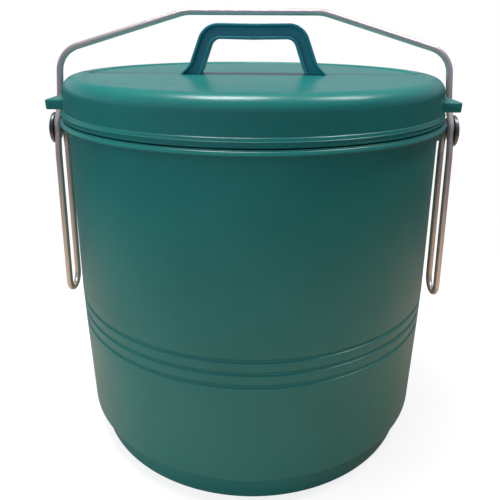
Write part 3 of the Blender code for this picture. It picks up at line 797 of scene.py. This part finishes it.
def build_rivets(material):
    """Rivets with domed heads, and the washers that their tails are clenched on."""
    dome_radius = (HEAD_RADIUS**2 + HEAD_DOME**2) / (2 * HEAD_DOME)
    dome_centre = HEAD_START + HEAD_RIM + HEAD_DOME - dome_radius
    dome_edge = degrees(acos(HEAD_RADIUS / dome_radius))
    dome = arc(0.0, dome_centre, dome_radius, dome_edge, 90, DOME_STEPS)
    tail_end = RIVET_LOW.x
    tail_top = WASHER_LOW.x - SEAT_GAP
    corners = [
        (0.0, tail_end, 0.0),
        (TAIL_RADIUS, tail_end, TAIL_ROUND),
        (TAIL_RADIUS, tail_top, SOFT_EDGE),
        (SHANK_RADIUS, tail_top, 0.0),
        (SHANK_RADIUS, BOSS_END + SEAT_GAP, 0.0),
        (BEARING_RADIUS, BOSS_END + SEAT_GAP, BEARING_ROUND),
        (BEARING_RADIUS, HEAD_START, SOFT_EDGE),
        (HEAD_RADIUS, HEAD_START, HEAD_EDGE),
        (*dome[0], HEAD_EDGE),
        *[(r, z, 0.0) for r, z in dome[1:]],
    ]
    radius = (WASHER_HIGH.z - WASHER_LOW.z) / 2
    inner = SHANK_RADIUS + RUNNING_GAP
    washer = [
        (inner, WASHER_LOW.x),
        (radius, WASHER_LOW.x),
        (radius, WASHER_HIGH.x),
        (inner, WASHER_HIGH.x),
    ]
    for side, label in ((1, "right"), (-1, "left")):
        place = side_matrix(side, 0.0, 0.0)
        rivet = turned(label + "_rivet_turned", profile_of(corners), material, SMALL_STEPS)
        rivet.data.transform(place)
        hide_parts(label + "_rivet")
        ring = turned(label + "_washer_turned", washer, material, SMALL_STEPS, closed=True)
        ring.data.transform(place)
        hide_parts(label + "_washer")
        for item in (rivet, ring):
            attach(item, "bail_pivots")


class Nodes:
    """Short way to build a node tree."""

    def __init__(self, tree):
        self.tree = tree
        tree.nodes.clear()

    def add(self, kind, inputs=None, **settings):
        node = self.tree.nodes.new(kind)
        for name, value in settings.items():
            setattr(node, name, value)
        for name, value in (inputs or {}).items():
            socket = node.inputs[name]
            if isinstance(value, bpy.types.NodeSocket):
                self.tree.links.new(value, socket)
            else:
                socket.default_value = value
        return node

    def noise(self, vector, scale, detail, roughness=NOISE_ROUGHNESS):
        values = {"Vector": vector, "Scale": scale, "Detail": detail, "Roughness": roughness}
        return self.add("ShaderNodeTexNoise", values).outputs["Fac"]

    def length(self, vector):
        node = self.add("ShaderNodeVectorMath", {0: vector}, operation="LENGTH")
        return node.outputs["Value"]

    def math(self, operation, first, second):
        node = self.add("ShaderNodeMath", {0: first, 1: second}, operation=operation)
        return node.outputs["Value"]

    def spread(self, value, low, high, start=NOISE_LOW, end=NOISE_HIGH):
        """Map a value from one range, by default a noise's, to the range that is wanted."""
        values = {"Value": value, "From Min": start, "From Max": end, "To Min": low, "To Max": high}
        return self.add("ShaderNodeMapRange", values).outputs["Result"]

    def blend(self, share, first, second):
        """Mix two colours, each a triple or a socket."""
        node = self.add("ShaderNodeMix", data_type="RGBA")
        for name, value in (("Factor", share), ("A", first), ("B", second)):
            kinds = "VALUE" if name == "Factor" else "RGBA"
            socket = next(s for s in node.inputs if s.name == name and s.type == kinds)
            if isinstance(value, bpy.types.NodeSocket):
                self.tree.links.new(value, socket)
            elif name == "Factor":
                socket.default_value = value
            else:
                socket.default_value = (*value, 1.0)
        return next(s for s in node.outputs if s.type == "RGBA")

    def bump(self, height, strength, distance, normal=None):
        values = {"Height": height, "Strength": strength, "Distance": distance}
        if normal is not None:
            values["Normal"] = normal
        return self.add("ShaderNodeBump", values).outputs["Normal"]


def new_material(name):
    material = bpy.data.materials.new(name)
    material.use_nodes = True
    return material, Nodes(material.node_tree)


def green_plastic(name, blue=1.0):
    """Moulded plastic with faint mottling and orange peel; blue makes a copy bluer, partly its own
    tint and mostly painted blue light.
    """
    material, nodes = new_material(name)
    place = nodes.add("ShaderNodeTexCoord").outputs["Object"]
    cloud = nodes.spread(nodes.noise(place, *CLOUD_NOISE), 0.0, 1.0)
    # Raising blue paints the blue front light on the handle's web into its colour, with a little of
    # its own tint
    dark, pale = [(r, g, b * blue) for r, g, b in (GREEN_DARK, GREEN_PALE)]
    colour = nodes.blend(cloud, dark, pale)
    gloss = nodes.spread(nodes.noise(place, *GLOSS_NOISE), *GREEN_ROUGHNESS)
    peel = nodes.noise(place, *PEEL_NOISE)
    sink = nodes.noise(place, *SINK_NOISE)
    normal = nodes.bump(peel, *PEEL_BUMP)
    normal = nodes.bump(sink, *SINK_BUMP, normal)
    shader = nodes.add(
        "ShaderNodeBsdfPrincipled",
        {"Base Color": colour, "Roughness": gloss, "IOR": PLASTIC_IOR, "Normal": normal},
    )
    nodes.add("ShaderNodeOutputMaterial", {"Surface": shader.outputs["BSDF"]})
    return material


def wire_steel():
    """Drawn wire with a worn copper wash: greyer at the grip, warmer down the loops."""
    material, nodes = new_material("wire_steel_drawn")
    coordinates = nodes.add("ShaderNodeTexCoord")
    place = coordinates.outputs["Object"]
    lines = nodes.add(
        "ShaderNodeMapping", {"Vector": coordinates.outputs["UV"], "Scale": WIRE_LINES}
    ).outputs["Vector"]
    height = nodes.add("ShaderNodeSeparateXYZ", {"Vector": place}).outputs["Z"]
    warm = nodes.spread(height, 1.0, 0.0, *WIRE_FADE)
    base = nodes.blend(warm, WIRE_AT_GRIP, WIRE_AT_LOOPS)
    drawn = nodes.noise(lines, *WIRE_NOISE)
    gloss = nodes.spread(drawn, *WIRE_ROUGHNESS)
    normal = nodes.bump(drawn, *WIRE_BUMP)
    shader = nodes.add(
        "ShaderNodeBsdfPrincipled",
        {"Base Color": base, "Metallic": WIRE_METALLIC, "Roughness": gloss, "Normal": normal},
    )
    nodes.add("ShaderNodeOutputMaterial", {"Surface": shader.outputs["BSDF"]})
    return material


def rivet_steel():
    """Dark steel for the rivets and washers, with faint marks and a green tint that is painted
    reflection of the plastic.
    """
    material, nodes = new_material("rivet_steel_dark")
    place = nodes.add("ShaderNodeTexCoord").outputs["Object"]
    marks = nodes.noise(place, *RIVET_NOISE)
    # the green in these colours is painted reflection of the plastic
    base = nodes.blend(nodes.spread(marks, 0.0, 1.0), RIVET_DARK_GREEN_REFLECTED, RIVET_PALE_GREEN_REFLECTED)
    gloss = nodes.spread(marks, *RIVET_ROUGHNESS)
    normal = nodes.bump(marks, *RIVET_BUMP)
    shader = nodes.add(
        "ShaderNodeBsdfPrincipled",
        {"Base Color": base, "Metallic": 1.0, "Roughness": gloss, "Normal": normal},
    )
    nodes.add("ShaderNodeOutputMaterial", {"Surface": shader.outputs["BSDF"]})
    return material


def seen_rays(nodes):
    """Two shares: 1 for camera rays alone, and 1 for camera, mirrored and see-through rays."""
    path = nodes.add("ShaderNodeLightPath").outputs
    through = nodes.math("MAXIMUM", path["Is Glossy Ray"], path["Is Transmission Ray"])
    return path["Is Camera Ray"], nodes.math("MAXIMUM", path["Is Camera Ray"], through)


def build_stage():
    """A floor that is white for the camera, with the object's shadow near by.

    Rays that light the object see a darker floor, warm near the object and grey further
    out. Mirrored and see-through rays see a small share of the white, near by only.
    """
    mesh = bmesh.new()
    bmesh.ops.create_grid(mesh, x_segments=1, y_segments=1, size=FLOOR_HALF_SIZE)
    material, nodes = new_material("floor_white")
    place = nodes.add("ShaderNodeTexCoord").outputs["Object"]
    distance = nodes.length(place)
    depth = nodes.add("ShaderNodeSeparateXYZ", {"Vector": place}).outputs["Y"]
    near = nodes.spread(distance, 1.0, 0.0, *FLOOR_NEAR_FADE)
    rear = nodes.spread(depth, 1.0, FLOOR_REAR, *FLOOR_REAR_FADE)
    near = nodes.math("MULTIPLY", near, rear)
    paper = nodes.add("ShaderNodeBsdfDiffuse", {"Color": nodes.blend(near, FLOOR_FAR, FLOOR_NEAR)})
    shaded = nodes.add("ShaderNodeBsdfDiffuse", {"Color": FLOOR_SHADED})
    glow = nodes.add("ShaderNodeEmission", {"Color": (*WHITE, 1.0), "Strength": FLOOR_GLOW})
    white = nodes.add("ShaderNodeEmission", {"Color": (*WHITE, 1.0), "Strength": 1.0})
    both = nodes.add("ShaderNodeAddShader", {0: shaded.outputs[0], 1: glow.outputs[0]})
    far = nodes.spread(distance, 0.0, 1.0, *FLOOR_PLAIN_FADE)
    plain = nodes.add("ShaderNodeMixShader", {0: far, 1: both.outputs[0], 2: white.outputs[0]})
    camera, seen = seen_rays(nodes)
    mirrored = nodes.math("MULTIPLY", near, FLOOR_MIRRORED)
    share = nodes.math("MULTIPLY", seen, nodes.math("MAXIMUM", camera, mirrored))
    mix = nodes.add("ShaderNodeMixShader", {0: share, 1: paper.outputs[0], 2: plain.outputs[0]})
    nodes.add("ShaderNodeOutputMaterial", {"Surface": mix.outputs[0]})
    floor = finished("floor", mesh, material)


def room(nodes, axes, front, back, bands):
    """A room's colour by direction: left to right, from low to high, and from front to back."""
    right = nodes.spread(axes["X"], 0.0, 1.0, *SIDE_FADE)
    walls = []
    for rows in (front, back):
        colours = [nodes.blend(right, *pair) for pair in rows]
        wall = colours[0]
        for (start, end), colour in zip(bands, colours[1:]):
            wall = nodes.blend(nodes.spread(axes["Z"], 0.0, 1.0, start, end), wall, colour)
        walls.append(wall)
    return nodes.blend(nodes.spread(axes["Y"], 0.0, 1.0, *DEPTH_FADE), *walls)


def build_world():
    """White for the camera, and a tinted room each for mirrored rays and for the light."""
    world = bpy.data.worlds.new("studio")
    world.use_nodes = True
    bpy.context.scene.world = world
    nodes = Nodes(world.node_tree)
    direction = nodes.add("ShaderNodeTexCoord").outputs["Generated"]
    axes = nodes.add("ShaderNodeSeparateXYZ", {"Vector": direction}).outputs
    lit = room(nodes, axes, LIGHT_FRONT, LIGHT_BACK, LIGHT_BANDS)
    light = nodes.add("ShaderNodeBackground", {"Color": lit})
    camera, seen = seen_rays(nodes)
    shown = room(nodes, axes, MIRROR_FRONT, MIRROR_BACK, MIRROR_BANDS)
    colour = nodes.blend(camera, shown, WHITE)
    mirrored = nodes.add("ShaderNodeBackground", {"Color": colour})
    mix = nodes.add("ShaderNodeMixShader", {0: seen, 1: light.outputs[0], 2: mirrored.outputs[0]})
    nodes.add("ShaderNodeOutputWorld", {"Surface": mix.outputs[0]})


def build_lights():
    """Two ceiling lights, aimed at the lid, whose reflections lie along its shoulder."""
    target = Vector((0.0, 0.0, LID_TOP))
    for name, place, size, power in LAMPS:
        data = bpy.data.lights.new(name, "AREA")
        data.shape = "RECTANGLE"
        data.size, data.size_y = size
        data.energy = power
        item = bpy.data.objects.new(name, data)
        item.location = place
        item.rotation_euler = (target - Vector(place)).to_track_quat("-Z", "Y").to_euler()
        bpy.context.scene.collection.objects.link(item)


def build_camera():
    data = bpy.data.cameras.new("camera")
    data.sensor_width = SENSOR
    data.lens = FOCAL_PIXELS / PICTURE * SENSOR
    data.shift_x = (PICTURE / 2 - OPTICAL_CENTRE[0]) / PICTURE
    data.shift_y = (OPTICAL_CENTRE[1] - PICTURE / 2) / PICTURE
    data.clip_start = CLIP_START
    camera = bpy.data.objects.new("camera", data)
    turn = Matrix.Rotation(radians(CAMERA_TURN), 4, "Z")
    stand = Matrix.Translation((CAMERA_SIDESTEP, -CAMERA_DISTANCE, CAMERA_HEIGHT))
    tilt = Matrix.Rotation(radians(90.0 - CAMERA_PITCH), 4, "X")
    roll = Matrix.Rotation(radians(CAMERA_ROLL), 4, "Z")
    camera.matrix_world = turn @ stand @ tilt @ roll
    bpy.context.scene.collection.objects.link(camera)
    bpy.context.scene.camera = camera


def main():
    bpy.context.scene.view_settings.view_transform = "Standard"
    plastic = green_plastic("green_plastic_moulded")
    build_pail(plastic)
    build_lid(plastic)
    # The handle's plastic is a bluer copy: painted blue light on its web, with a little of the
    # moulding's own tint
    build_handle(green_plastic("green_plastic_handle", HANDLE_TINT_AND_PAINTED_BLUE_LIGHT))
    build_bail(wire_steel())
    build_rivets(rivet_steel())
    build_stage()
    build_world()
    build_lights()
    build_camera()


main()
